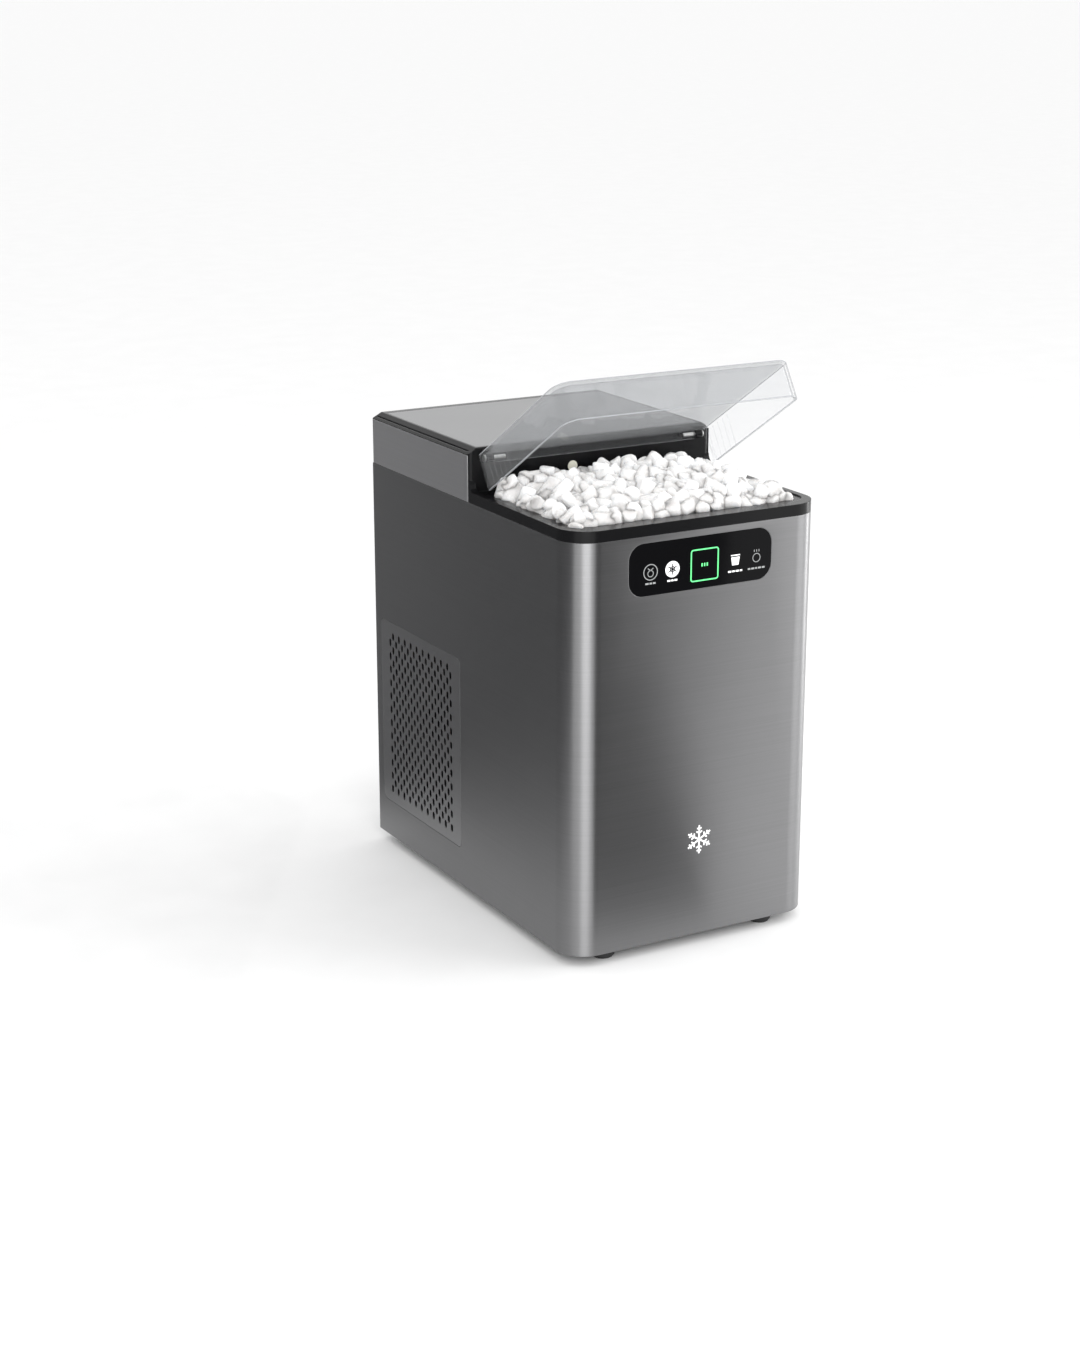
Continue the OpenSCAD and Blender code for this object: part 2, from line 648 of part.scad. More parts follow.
module filter_drier() color("#b87333") {
    post(-62, -20, 8, 60, 110);
    translate([-62, -20, 110]) cylinder(r1 = 8, r2 = 2, h = 8);
    translate([-62, -20, 52]) cylinder(r1 = 2, r2 = 8, h = 8);
}
module discharge_pipe() color("#b5713c")
    sweep(rounded_route([[comp_x - 30, comp_y + 20, 125], [comp_x - 30, comp_y + 20, 138], [-80, -50, 138],
        [cond_x, -10, 138], [cond_x, 0, 195], [cond_x, cond_y0 - 6, 195]], 8), 3, 8);
module suction_pipe() color("#b5713c")
    sweep(rounded_route([[comp_x + 20, comp_y + 40, 128], [comp_x + 20, comp_y + 50, 139], [20, -6, 139],
        [-20, 20, 150], [-20, auger_y, 200], [-20, auger_y, 316], coil_point(85)], 8), 4, 8);
module liquid_line() color("#b5713c")
    sweep(rounded_route([[cond_x, cond_y0 - 6, 45], [cond_x, -20, 45], [-62, -20, 40], [-62, -20, 52]], 6),
        2.2, 8);
module capillary_tube() color("#b5713c")
    sweep(rounded_route([[-62, -20, 118], [-62, -20, 132], [-62, 10, 136], [-25, 50, 165],
        [-25, auger_y, 188], coil_point(5)], 6), 1.5, 8);

// ---------- auger unit ----------

module gear_motor() color("#4a4c50") difference() {
    union() {
        post(auger_x, auger_y, 32, 62, 119.8);
        post(auger_x, auger_y, 12, 56, 62);
    }
    post(auger_x, auger_y, 3.1, 106, 121);
}
module motor_pinion() color("#c8a35a") translate([auger_x, auger_y, 0]) {
    translate([0, 0, gear_z1]) gear(pinion_teeth, gear_h);
    translate([0, 0, 108]) cylinder(r = 3, h = gear_z1 - 108 + 1);
}
module idler_gear() color("#e3e0d2") translate([auger_x, idler_y, 0]) difference() {
    union() {
        translate([0, 0, gear_z1]) gear(wheel_teeth, gear_h, 180 / wheel_teeth);
        translate([0, 0, gear_z1 + gear_h]) cylinder(r = 7, h = gear_z2 - gear_z1 - gear_h);
        translate([0, 0, gear_z2]) gear(pinion_teeth, gear_h);
    }
    translate([0, 0, gear_z1 - 1]) cylinder(r = 3.05, h = 30);
}
module output_gear() color("#e3e0d2") translate([auger_x, auger_y, gear_z2]) difference() {
    gear(wheel_teeth, gear_h, 180 / wheel_teeth);
    translate([0, 0, -1]) cylinder(r = 6.02, h = gear_h + 2);
}

module gearbox_plan(r) {
    for (y = [auger_y, idler_y]) translate([auger_x, y]) circle(r = r);
    translate([auger_x - r, auger_y]) square([2 * r, gear_distance]);
}
module gearbox_housing() color("#56585c") {
    difference() {
        plan_slab(120, 150) gearbox_plan(43);
        plan_slab(122.5, 151) gearbox_plan(40);
        post(auger_x, auger_y, 3.3, 119, 130);
    }
    post(auger_x, idler_y, 3, 122, 149.8);
}
module gearbox_cover() color("#5e6064") difference() {
    plan_slab(150, 153) gearbox_plan(43);
    post(auger_x, auger_y, 8, 149, 154);
}

module auger() color("#cfd2d5") translate([auger_x, auger_y, 0]) {
    translate([0, 0, gear_z2]) cylinder(r = 6, h = 357 - gear_z2);
    translate([0, 0, 167]) cylinder(r = 9, h = 171);
    translate([0, 0, 168]) linear_extrude(168, twist = -1440, slices = 72)
        polygon(concat([[0, 0]], [for (a = [-14:7:14]) 23.3 * [cos(a), sin(a)]]));
    // breaker cone on top of the shaft
    translate([0, 0, 357]) cylinder(r = 6, h = 14);
    translate([0, 0, 371]) cylinder(r1 = 22, r2 = 5, h = 14);
}
module auger_bearings() color("#a9adb1") for (z = [[153, 163, 13], [342, 352, 11]]) difference() {
    post(auger_x, auger_y, z[2], z[0], z[1]);
    post(auger_x, auger_y, 6.05, z[0] - 1, z[1] + 1);
}
module evaporator_barrel() color("#c2c5c8") difference() {
    union() {
        post(auger_x, auger_y, 27, barrel_z0, barrel_z1);
        post(auger_x, auger_y, 36, barrel_z0, barrel_z0 + 4);
    }
    post(auger_x, auger_y, 13.02, barrel_z0 - 1, 163);
    post(auger_x, auger_y, 8, 160, 168);
    post(auger_x, auger_y, 24, 166, barrel_z1 + 1);
}
coil_turns = 9;
function coil_point(i) = [auger_x + 33 * cos(36 * i), auger_y + 33 * sin(36 * i), 180 + 1.6 * i];
module evaporator_coil() color("#b5713c")
    sweep([for (i = [0:coil_turns * 10]) coil_point(i)], 4, 6);

module evaporator_jacket() color("#e8dfc4") difference() {
    post(auger_x, auger_y, 45, 175, 332);
    post(auger_x, auger_y, 38, 174, 333);
    rod_x(auger_y, 188, 2, -10, 20);
    rod_x(auger_y, 316, 4.5, -10, 20);
}

module extruder_head() color("#b9bcc0") difference() {
    post(auger_x, auger_y, 29, barrel_z1, chute_z);
    post(auger_x, auger_y, 11.02, barrel_z1 - 1, 352);
    post(auger_x, auger_y, 6.3, 350, chute_z + 1);
    for (a = [0:60:300]) post(auger_x + 18 * cos(a), auger_y + 18 * sin(a), 5.5, barrel_z1 - 1, chute_z + 1);
}

module ice_chute() color("#d7dadc") difference() {
    union() {
        post(auger_x, auger_y, 32, chute_z, 406);
        along_x(auger_x - 24, auger_x + 24)
            polygon([[liner_y1 + liner_t + 0.1, 339], [70, chute_z], [70, 404], [liner_y1 + liner_t + 0.1, 370]]);
    }
    post(auger_x, auger_y, 29.5, chute_z - 8, 403.5);
    along_x(auger_x - 22, auger_x + 22)
        polygon([[liner_y1, 341], [80, chute_z + 2.4], [80, 401.5], [liner_y1, 367.5]]);
}

base_pan();
feet();
steel_wrap();
vent_grille_left();
vent_grille_right();
rear_panel();
rear_screws();
top_frame();
top_panel();
hinge_bracket_left();
hinge_bracket_right();
hinge_pin_left();
hinge_pin_right();
lid_shell();
ice_basket();
bin_liner();
bin_insulation();
water_tank();
mid_shelf();
water_pump();
water_hose();
float_stem();
float();
drain_port();
drain_hose();
drain_plug();
power_inlet();
control_housing();
control_glass();
control_pcb();
power_board();
wire_harness();
ice_full_sensor();
bin_lamp();
compressor();
compressor_base();
compressor_grommets();
discharge_pipe();
suction_pipe();
filter_drier();
liquid_line();
capillary_tube();
condenser_fins();
condenser_tubes();
fan_shroud();
fan_motor();
fan_blades();
gear_motor();
motor_pinion();
idler_gear();
output_gear();
gearbox_housing();
gearbox_cover();
auger();
auger_bearings();
evaporator_barrel();
evaporator_coil();
evaporator_jacket();
extruder_head();
ice_chute();
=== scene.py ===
"""Looks for the nugget ice maker: materials, clear lid, ice, panel print, studio light and camera."""

import json
import math
import random

import bmesh
import bpy
from mathutils import Euler, Matrix, Vector


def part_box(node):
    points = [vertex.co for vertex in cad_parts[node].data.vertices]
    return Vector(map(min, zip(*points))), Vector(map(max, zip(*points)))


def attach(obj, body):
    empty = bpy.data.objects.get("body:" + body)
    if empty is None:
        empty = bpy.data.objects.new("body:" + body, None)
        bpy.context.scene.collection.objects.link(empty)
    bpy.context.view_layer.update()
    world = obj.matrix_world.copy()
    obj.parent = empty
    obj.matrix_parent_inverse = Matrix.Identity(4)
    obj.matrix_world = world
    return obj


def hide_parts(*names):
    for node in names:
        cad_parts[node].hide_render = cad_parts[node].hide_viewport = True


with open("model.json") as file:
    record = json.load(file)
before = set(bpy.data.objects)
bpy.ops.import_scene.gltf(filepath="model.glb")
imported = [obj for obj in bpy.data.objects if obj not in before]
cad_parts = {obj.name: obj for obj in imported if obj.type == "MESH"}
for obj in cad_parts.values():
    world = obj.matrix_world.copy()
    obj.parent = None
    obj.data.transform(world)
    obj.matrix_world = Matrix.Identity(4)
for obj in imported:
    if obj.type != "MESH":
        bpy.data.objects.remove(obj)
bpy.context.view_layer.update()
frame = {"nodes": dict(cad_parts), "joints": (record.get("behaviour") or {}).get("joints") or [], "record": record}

MM = 0.001
BRUSH_DEPTH = 0.00002       # depth of the brush lines
nodes = frame["nodes"]
joints = {j["name"]: j for j in frame["joints"]}


# ---------------------------------------------------------------- materials

def new_material(name):
    """An empty node material with one Principled shader."""
    mat = bpy.data.materials.new(name)
    mat.use_nodes = True
    nt = mat.node_tree
    nt.nodes.clear()
    out = nt.nodes.new("ShaderNodeOutputMaterial")
    shader = nt.nodes.new("ShaderNodeBsdfPrincipled")
    nt.links.new(shader.outputs[0], out.inputs[0])
    return mat, nt, shader


def object_coordinates(nt, scale=(1, 1, 1)):
    coord = nt.nodes.new("ShaderNodeTexCoord")
    mapping = nt.nodes.new("ShaderNodeMapping")
    mapping.inputs["Scale"].default_value = scale
    nt.links.new(coord.outputs["Object"], mapping.inputs[0])
    return mapping.outputs[0]


def noise(nt, vector, scale, detail=4.0, rough=0.55):
    tex = nt.nodes.new("ShaderNodeTexNoise")
    tex.inputs["Scale"].default_value = scale
    tex.inputs["Detail"].default_value = detail
    tex.inputs["Roughness"].default_value = rough
    nt.links.new(vector, tex.inputs["Vector"])
    return tex.outputs["Fac"]


def ramp(nt, value, stops):
    node = nt.nodes.new("ShaderNodeValToRGB")
    while len(node.color_ramp.elements) < len(stops):
        node.color_ramp.elements.new(0.5)
    for element, (place, colour) in zip(node.color_ramp.elements, stops):
        element.position = place
        element.color = (*colour, 1)
    nt.links.new(value, node.inputs[0])
    return node.outputs[0]


def to_range(nt, value, low, high):
    node = nt.nodes.new("ShaderNodeMapRange")
    node.inputs["From Min"].default_value = 0.3
    node.inputs["From Max"].default_value = 0.7
    node.inputs["To Min"].default_value = low
    node.inputs["To Max"].default_value = high
    nt.links.new(value, node.inputs[0])
    return node.outputs[0]


def surface_normal(nt, shader, height, strength, distance, edge):
    """Bump from a height, over edges rounded by a small radius."""
    bump = nt.nodes.new("ShaderNodeBump")
    bump.inputs["Strength"].default_value = strength
    bump.inputs["Distance"].default_value = distance
    nt.links.new(height, bump.inputs["Height"])
    if edge:
        round_edge = nt.nodes.new("ShaderNodeBevel")
        round_edge.samples = 6
        round_edge.inputs["Radius"].default_value = edge
        nt.links.new(round_edge.outputs[0], bump.inputs["Normal"])
    nt.links.new(bump.outputs[0], shader.inputs["Normal"])


def scaled(colour, k):
    return tuple(min(1.0, c * k) for c in colour)


def brushed(name, colour, rough=0.3, streak=(4, 4, 900), edge=0.0006, vary=0.12, stretch=0.0):
    """Brushed metal: streaks run along the small scales of `streak`; `stretch` draws its highlights out."""
    mat, nt, shader = new_material(name)
    lines = noise(nt, object_coordinates(nt, streak), 1.0, 6, 0.7)
    clouds = noise(nt, object_coordinates(nt), 9.0, 3)
    colours = [(0.3, scaled(colour, 1 - vary)), (0.7, scaled(colour, 1 + vary))]
    nt.links.new(ramp(nt, lines, colours), shader.inputs["Base Color"])
    mix = nt.nodes.new("ShaderNodeMath")
    mix.operation = "ADD"
    nt.links.new(to_range(nt, lines, rough * 0.45, rough * 0.6), mix.inputs[0])
    nt.links.new(to_range(nt, clouds, rough * 0.45, rough * 0.5), mix.inputs[1])
    nt.links.new(mix.outputs[0], shader.inputs["Roughness"])
    shader.inputs["Metallic"].default_value = 1.0
    if stretch:
        shader.inputs["Anisotropic"].default_value = stretch
        shader.inputs["Anisotropic Rotation"].default_value = 0.25
        tangent = nt.nodes.new("ShaderNodeTangent")
        tangent.direction_type = "RADIAL"
        tangent.axis = "Z"
        nt.links.new(tangent.outputs[0], shader.inputs["Tangent"])
    surface_normal(nt, shader, lines, 0.35, BRUSH_DEPTH, edge)
    return mat


def moulded(name, colour, rough=0.35, grain=2600, depth=0.00001, coat=0.0, edge=0.0006, vary=0.06,
            metallic=0.0, gloss=0.5):
    """Moulded, painted or cast surface: fine grain, faint clouds of colour and gloss."""
    mat, nt, shader = new_material(name)
    fine = noise(nt, object_coordinates(nt), grain, 2)
    clouds = noise(nt, object_coordinates(nt), 14.0, 4)
    colours = [(0.35, scaled(colour, 1 - vary)), (0.65, scaled(colour, 1 + vary))]
    nt.links.new(ramp(nt, clouds, colours), shader.inputs["Base Color"])
    nt.links.new(to_range(nt, clouds, rough * 0.9, rough * 1.12), shader.inputs["Roughness"])
    shader.inputs["Metallic"].default_value = metallic
    shader.inputs["Specular IOR Level"].default_value = gloss
    shader.inputs["Coat Weight"].default_value = coat
    shader.inputs["Coat Roughness"].default_value = 0.04
    surface_normal(nt, shader, fine, 0.3, depth, edge)
    return mat


def glowing(name, colour, strength):
    """Marks that give off a little light: a painted glow on the white and grey print, a lit lamp behind the green
    mark.
    """
    mat, nt, shader = new_material(name)
    speckle = noise(nt, object_coordinates(nt), 900, 2)
    colours = [(0.3, scaled(colour, 0.94)), (0.7, scaled(colour, 1.0))]
    tint = ramp(nt, speckle, colours)
    nt.links.new(tint, shader.inputs["Base Color"])
    nt.links.new(tint, shader.inputs["Emission Color"])
    shader.inputs["Emission Strength"].default_value = strength
    shader.inputs["Roughness"].default_value = 0.4
    return mat


def clear_plastic(name, face_on, slanted):
    """Thin clear plastic: greyer and more reflective where the sheet is seen at a slant."""
    mat, nt, shader = new_material(name)
    out = next(n for n in nt.nodes if n.type == "OUTPUT_MATERIAL")
    shader.inputs["Base Color"].default_value = (0.86, 0.87, 0.88, 1)
    shader.inputs["Roughness"].default_value = 0.04
    shader.inputs["Specular IOR Level"].default_value = 0.8
    scratch = noise(nt, object_coordinates(nt, (60, 900, 60)), 1.0, 5, 0.7)
    surface_normal(nt, shader, scratch, 0.1, 0.00001, 0)
    through = nt.nodes.new("ShaderNodeBsdfTransparent")
    slant = nt.nodes.new("ShaderNodeLayerWeight")
    slant.inputs["Blend"].default_value = 0.5
    nt.links.new(ramp(nt, slant.outputs["Facing"], [(0.55, face_on), (0.93, slanted)]), through.inputs[0])
    power = nt.nodes.new("ShaderNodeMath")
    power.operation = "POWER"
    power.inputs[1].default_value = 5.0
    nt.links.new(slant.outputs["Facing"], power.inputs[0])
    gloss = nt.nodes.new("ShaderNodeMapRange")
    gloss.inputs["To Min"].default_value = 0.015
    gloss.inputs["To Max"].default_value = 0.9
    nt.links.new(power.outputs[0], gloss.inputs[0])
    mix = nt.nodes.new("ShaderNodeMixShader")
    nt.links.new(gloss.outputs[0], mix.inputs[0])
    nt.links.new(through.outputs[0], mix.inputs[1])
    nt.links.new(shader.outputs[0], mix.inputs[2])
    nt.links.new(mix.outputs[0], out.inputs[0])
    return mat


def ice_material():
    """Cloudy ice with light scattered inside it."""
    mat, nt, shader = new_material("ice")
    clouds = noise(nt, object_coordinates(nt), 130, 4, 0.6)
    colours = [(0.3, (0.95, 0.957, 0.965)), (0.6, (0.99, 0.993, 0.996))]
    nt.links.new(ramp(nt, clouds, colours), shader.inputs["Base Color"])
    nt.links.new(to_range(nt, clouds, 0.16, 0.36), shader.inputs["Roughness"])
    shader.inputs["IOR"].default_value = 1.31
    shader.inputs["Transmission Weight"].default_value = 0.1
    shader.inputs["Subsurface Weight"].default_value = 0.8
    shader.inputs["Subsurface Radius"].default_value = (0.014, 0.015, 0.016)
    shader.inputs["Subsurface Scale"].default_value = 1.0
    surface_normal(nt, shader, noise(nt, object_coordinates(nt), 300, 4, 0.55), 0.4, 0.0005, 0)
    return mat


STEEL = (0.25, 0.25, 0.254)
MATERIALS = {
    "dark_steel": brushed("dark_steel", STEEL, rough=0.38, vary=0.05, stretch=0.85),
    "satin_steel": brushed("satin_steel", (0.24, 0.242, 0.247), rough=0.3, streak=(4, 900, 4), vary=0.05),
    "frame_plastic": moulded("frame_plastic", (0.006, 0.006, 0.0065), rough=0.2, edge=0.0012, gloss=0.16),
    "back_plate": moulded("back_plate", (0.035, 0.036, 0.038), rough=0.5, grain=1800, depth=0.00004),
    "zinc_steel": brushed("zinc_steel", (0.55, 0.55, 0.54), rough=0.32, streak=(300, 300, 300)),
    "foot_rubber": moulded("foot_rubber", (0.02, 0.02, 0.021), rough=0.75, grain=1200, depth=0.00006),
    "clear_lid": clear_plastic("clear_lid", (0.965, 0.967, 0.97), (0.36, 0.37, 0.38)),
    "panel_glass": moulded("panel_glass", (0.0035, 0.0035, 0.004), rough=0.06, edge=0.0005,
                           depth=0.000002, gloss=0.08),
    "basket_plastic": moulded("basket_plastic", (0.86, 0.87, 0.89), rough=0.3, edge=0.0008, vary=0.02),
    "liner_plastic": moulded("liner_plastic", (0.72, 0.73, 0.75), rough=0.35, vary=0.03),
    "foam": moulded("foam", (0.72, 0.6, 0.36), rough=0.9, grain=500, depth=0.0003, vary=0.15),
    "pump_plastic": moulded("pump_plastic", (0.03, 0.03, 0.034), rough=0.45),
    "hose_plastic": moulded("hose_plastic", (0.68, 0.72, 0.72), rough=0.3, coat=0.3),
    "float_plastic": moulded("float_plastic", (0.05, 0.2, 0.45), rough=0.4),
    "plug_rubber": moulded("plug_rubber", (0.6, 0.62, 0.64), rough=0.6),
    "inlet_plastic": moulded("inlet_plastic", (0.012, 0.012, 0.013), rough=0.5),
    "circuit_board": moulded("circuit_board", (0.01, 0.13, 0.05), rough=0.35, grain=700, coat=0.4, vary=0.25),
    "wire_jacket": moulded("wire_jacket", (0.015, 0.015, 0.016), rough=0.55),
    "lamp_lens": moulded("lamp_lens", (0.8, 0.78, 0.66), rough=0.2, coat=0.5),
    "black_enamel": moulded("black_enamel", (0.012, 0.012, 0.013), rough=0.25, coat=0.7, grain=400,
                            depth=0.00005),
    "copper": brushed("copper", (0.75, 0.33, 0.18), rough=0.3, streak=(200, 200, 200)),
    # near-black fins: painted shade, so that the holes of the grille look dark
    "fin_aluminium": brushed("fin_aluminium", (0.03, 0.03, 0.032), rough=0.5, streak=(80, 80, 400)),
    "fan_plastic": moulded("fan_plastic", (0.02, 0.02, 0.022), rough=0.5),
    "motor_steel": moulded("motor_steel", (0.09, 0.09, 0.1), rough=0.35, metallic=0.6),
    "brass_gear": brushed("brass_gear", (0.75, 0.55, 0.22), rough=0.28, streak=(400, 400, 60)),
    "gear_plastic": moulded("gear_plastic", (0.76, 0.73, 0.64), rough=0.4),
    "cast_case": moulded("cast_case", (0.33, 0.34, 0.35), rough=0.5, grain=900, depth=0.00008, metallic=0.8),
    "stainless": brushed("stainless", (0.6, 0.61, 0.62), rough=0.25, streak=(60, 60, 700)),
}
GRILLE = brushed("grille_steel", scaled(STEEL, 1.3), rough=0.4, vary=0.05, edge=0.00015, stretch=0.85)
TRIM = brushed("trim_steel", (0.6, 0.6, 0.608), rough=0.42, vary=0.04, edge=0.0002, stretch=0.7)
# Grey glossy tubes inside the clear lid's edges: painted edge lines in place of light refracted at those edges.
EDGE = moulded("lid_edge_painted_lines", (0.42, 0.43, 0.45), rough=0.12, edge=0, gloss=0.9)
ICE = ice_material()
CARD_BLACK = moulded("card_black", (0.07, 0.07, 0.071), rough=0.9, edge=0)
CARD_GREY = moulded("card_grey", (0.15, 0.15, 0.154), rough=0.9, edge=0)
# The white and grey print gets a painted glow, light that no lamp gives it; the green mark is a lit lamp.
PRINT_WHITE_PAINTED_GLOW = glowing("print_white_painted_glow", (0.9, 0.9, 0.9), 0.25)
PRINT_GREY_PAINTED_GLOW = glowing("print_grey_painted_glow", (0.32, 0.33, 0.33), 0.1)
PRINT_GREEN = glowing("print_green", (0.1, 0.62, 0.2), 1.0)


# ---------------------------------------------------------------- CAD nodes

def smooth_group():
    """Geometry nodes that weld a CAD mesh and shade its curved faces smooth."""
    tree = bpy.data.node_groups.new("smooth_by_angle", "GeometryNodeTree")
    tree.interface.new_socket("Geometry", in_out="INPUT", socket_type="NodeSocketGeometry")
    tree.interface.new_socket("Geometry", in_out="OUTPUT", socket_type="NodeSocketGeometry")
    start = tree.nodes.new("NodeGroupInput")
    end = tree.nodes.new("NodeGroupOutput")
    weld = tree.nodes.new("GeometryNodeMergeByDistance")
    weld.inputs["Distance"].default_value = 0.000002
    faces = tree.nodes.new("GeometryNodeSetShadeSmooth")
    faces.domain = "FACE"
    edges = tree.nodes.new("GeometryNodeSetShadeSmooth")
    edges.domain = "EDGE"
    angle = tree.nodes.new("GeometryNodeInputMeshEdgeAngle")
    small = tree.nodes.new("FunctionNodeCompare")
    small.operation = "LESS_THAN"
    small.inputs[1].default_value = math.radians(28)
    link = tree.links.new
    link(start.outputs[0], weld.inputs[0])
    link(weld.outputs[0], faces.inputs[0])
    link(faces.outputs[0], edges.inputs[0])
    link(angle.outputs[0], small.inputs[0])
    link(small.outputs[0], edges.inputs["Shade Smooth"])
    link(edges.outputs[0], end.inputs[0])
    return tree


SMOOTH = smooth_group()
slots = {row["node"]: row["material_slot"] for row in frame["record"]["subparts"]}


def smooth_by_angle(obj):
    obj.modifiers.new("smooth", "NODES").node_group = SMOOTH


def paint(obj, material):
    obj.data.materials.clear()
    obj.data.materials.append(material)


for node_name, node in nodes.items():
    paint(node, GRILLE if node_name.startswith("vent_grille") else MATERIALS[slots[node_name]])
    smooth_by_angle(node)


# ---------------------------------------------------------------- building pieces

def add_piece(bm, name, body, material, smooth=True, replaces=()):
    """An object from a bmesh, on its body, with its material."""
    mesh = bpy.data.meshes.new(name)
    bmesh.ops.recalc_face_normals(bm, faces=bm.faces)
    bm.to_mesh(mesh)
    bm.free()
    obj = bpy.data.objects.new(name, mesh)
    bpy.context.scene.collection.objects.link(obj)
    paint(obj, material)
    if smooth:
        smooth_by_angle(obj)
    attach(obj, body)
    if replaces:
        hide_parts(*replaces)
    return obj


def prism(bm, near, far):
    """A closed solid between two outlines of the same number of points."""
    a = [bm.verts.new(p) for p in near]
    b = [bm.verts.new(p) for p in far]
    bm.faces.new(a)
    bm.faces.new(b[::-1])
    for i in range(len(a)):
        j = (i + 1) % len(a)
        bm.faces.new((a[j], a[i], b[i], b[j]))


def middle(name):
    """Centre of a CAD node's box."""
    lo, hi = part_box(name)
    return (Vector(lo) + Vector(hi)) / 2


glass_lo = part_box("control_glass")[0]
wrap_lo, wrap_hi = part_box("steel_wrap")
frame_lo, frame_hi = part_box("top_frame")
basket_lo, basket_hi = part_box("ice_basket")
liner_lo, liner_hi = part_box("bin_liner")
FRONT_Y = wrap_lo[1]
GLASS_MID = middle("control_glass")
HOUSE_Y = -6 * MM                      # front face of the raised housing
BAND_TOP = frame_hi[2] - 6 * MM        # where the chamfer round the deck starts


# ---------------------------------------------------------------- panel print and mark

PRINT_T = 0.12 * MM


def slab(bm, points, y):
    """A flat outline in X and Z, standing out a little in front of y."""
    prism(bm, [(x, y - PRINT_T, z) for x, z in points], [(x, y + PRINT_T, z) for x, z in points])


def disc(bm, cx, cz, r, y, count=40):
    turn = [2 * math.pi * i / count for i in range(count)]
    slab(bm, [(cx + r * math.cos(a), cz + r * math.sin(a)) for a in turn], y)


def ring(bm, cx, cz, r, w, y, count=44):
    """A flat ring of outer radius r and width w."""
    for i in range(count):
        a, b = 2 * math.pi * i / count, 2 * math.pi * (i + 1.02) / count
        slab(bm, [(cx + q * math.cos(t), cz + q * math.sin(t)) for q, t in
                  ((r - w, a), (r, a), (r, b), (r - w, b))], y)


def bar(bm, x0, z0, x1, z1, w, y):
    """A flat bar of width w between two points."""
    along = Vector((x1 - x0, z1 - z0)).normalized() * w / 2
    side = Vector((-along.y, along.x))
    slab(bm, [(x0 - side.x, z0 - side.y), (x1 - side.x, z1 - side.y),
              (x1 + side.x, z1 + side.y), (x0 + side.x, z0 + side.y)], y)


def panel_icons():
    """Four icons with plain dashes for captions, and a lit green square between them."""
    y = glass_lo[1]
    cz = GLASS_MID.z - 2.5 * MM
    label_z = GLASS_MID.z - 12.2 * MM
    white = bmesh.new()
    grey = bmesh.new()
    green = bmesh.new()

    # outlined round icon with a leaf-like sprout
    x = -50 * MM
    ring(grey, x, cz, 7.0 * MM, 0.7 * MM, y)
    ring(grey, x, cz - 1.2 * MM, 3.0 * MM, 0.6 * MM, y, 28)
    bar(grey, x - 2.6 * MM, cz + 3.4 * MM, x, cz + 1.4 * MM, 0.7 * MM, y)
    bar(grey, x + 2.6 * MM, cz + 3.4 * MM, x, cz + 1.4 * MM, 0.7 * MM, y)

    # white disc with a dark snow pattern
    x = -28.5 * MM
    disc(white, x, cz, 7.0 * MM, y)
    dark = bmesh.new()
    for k in range(3):
        a = math.pi * k / 3 + math.pi / 6
        dx, dz = 4.8 * MM * math.cos(a), 4.8 * MM * math.sin(a)
        bar(dark, x - dx, cz - dz, x + dx, cz + dz, 0.9 * MM, y - PRINT_T)
    ring(dark, x, cz, 2.6 * MM, 0.8 * MM, y - PRINT_T, 24)

    # lit square with rounded corners round a short green mark
    x, h, r, w = 3.5 * MM, 14.0 * MM, 2.6 * MM, 1.1 * MM
    corners = [(h - r, h - r, 0), (r - h, h - r, 1), (r - h, r - h, 2), (h - r, r - h, 3)]
    for i, (px, pz, quarter) in enumerate(corners):
        start = quarter * math.pi / 2
        for step in range(8):
            a, b = (start + math.pi / 2 * (step + t) / 8 for t in (0, 1.02))
            slab(green, [(x + px + q * math.cos(t), cz + pz + q * math.sin(t))
                         for q, t in ((r - w, a), (r, a), (r, b), (r - w, b))], y)
    for s in (-1, 1):
        bar(green, x + r - h, cz + s * (h - w / 2), x + h - r, cz + s * (h - w / 2), w, y)
        bar(green, x + s * (h - w / 2), cz + r - h, x + s * (h - w / 2), cz + h - r, w, y)
    for k in range(3):
        bar(green, x + (k - 1) * 2.6 * MM, cz - 1.4 * MM, x + (k - 1) * 2.6 * MM, cz + 1.4 * MM, 1.2 * MM, y)

    # filled cup
    x = 34.5 * MM
    slab(white, [(x - 3.2 * MM, cz - 4.4 * MM), (x + 3.2 * MM, cz - 4.4 * MM),
                 (x + 4.3 * MM, cz + 2.6 * MM), (x - 4.3 * MM, cz + 2.6 * MM)], y)
    bar(white, x - 4.6 * MM, cz + 4.2 * MM, x + 4.6 * MM, cz + 4.2 * MM, 1.0 * MM, y)

    # outlined drops
    x = 56 * MM
    ring(grey, x, cz - 0.6 * MM, 4.0 * MM, 0.6 * MM, y, 30)
    for k in (-1, 0, 1):
        bar(grey, x + k * 2.4 * MM, cz + 4.6 * MM, x + k * 2.4 * MM, cz + 6.6 * MM, 0.6 * MM, y)

    # captions under the icons, as plain dashes
    for bm, cx, widths in ((grey, -50, (3.2, 2.4, 2.6)), (white, -28.5, (3.0, 2.2, 2.8)),
                           (white, 34.5, (3.2, 2.6, 3.6, 2.2)), (grey, 56, (2.6, 3.2, 1.8, 3.2, 2.8))):
        left = cx * MM - (sum(widths) + 0.9 * (len(widths) - 1)) * MM / 2
        for width in widths:
            bar(bm, left, label_z, left + width * MM, label_z, 1.5 * MM, y)
            left += (width + 0.9) * MM

    # the white and grey print here carries a painted glow from its material
    add_piece(white, "panel_print_white", "cabinet", PRINT_WHITE_PAINTED_GLOW, smooth=False)
    add_piece(grey, "panel_print_grey", "cabinet", PRINT_GREY_PAINTED_GLOW, smooth=False)
    add_piece(green, "panel_print_green", "cabinet", PRINT_GREEN, smooth=False)
    add_piece(dark, "panel_print_dark", "cabinet", MATERIALS["panel_glass"], smooth=False)


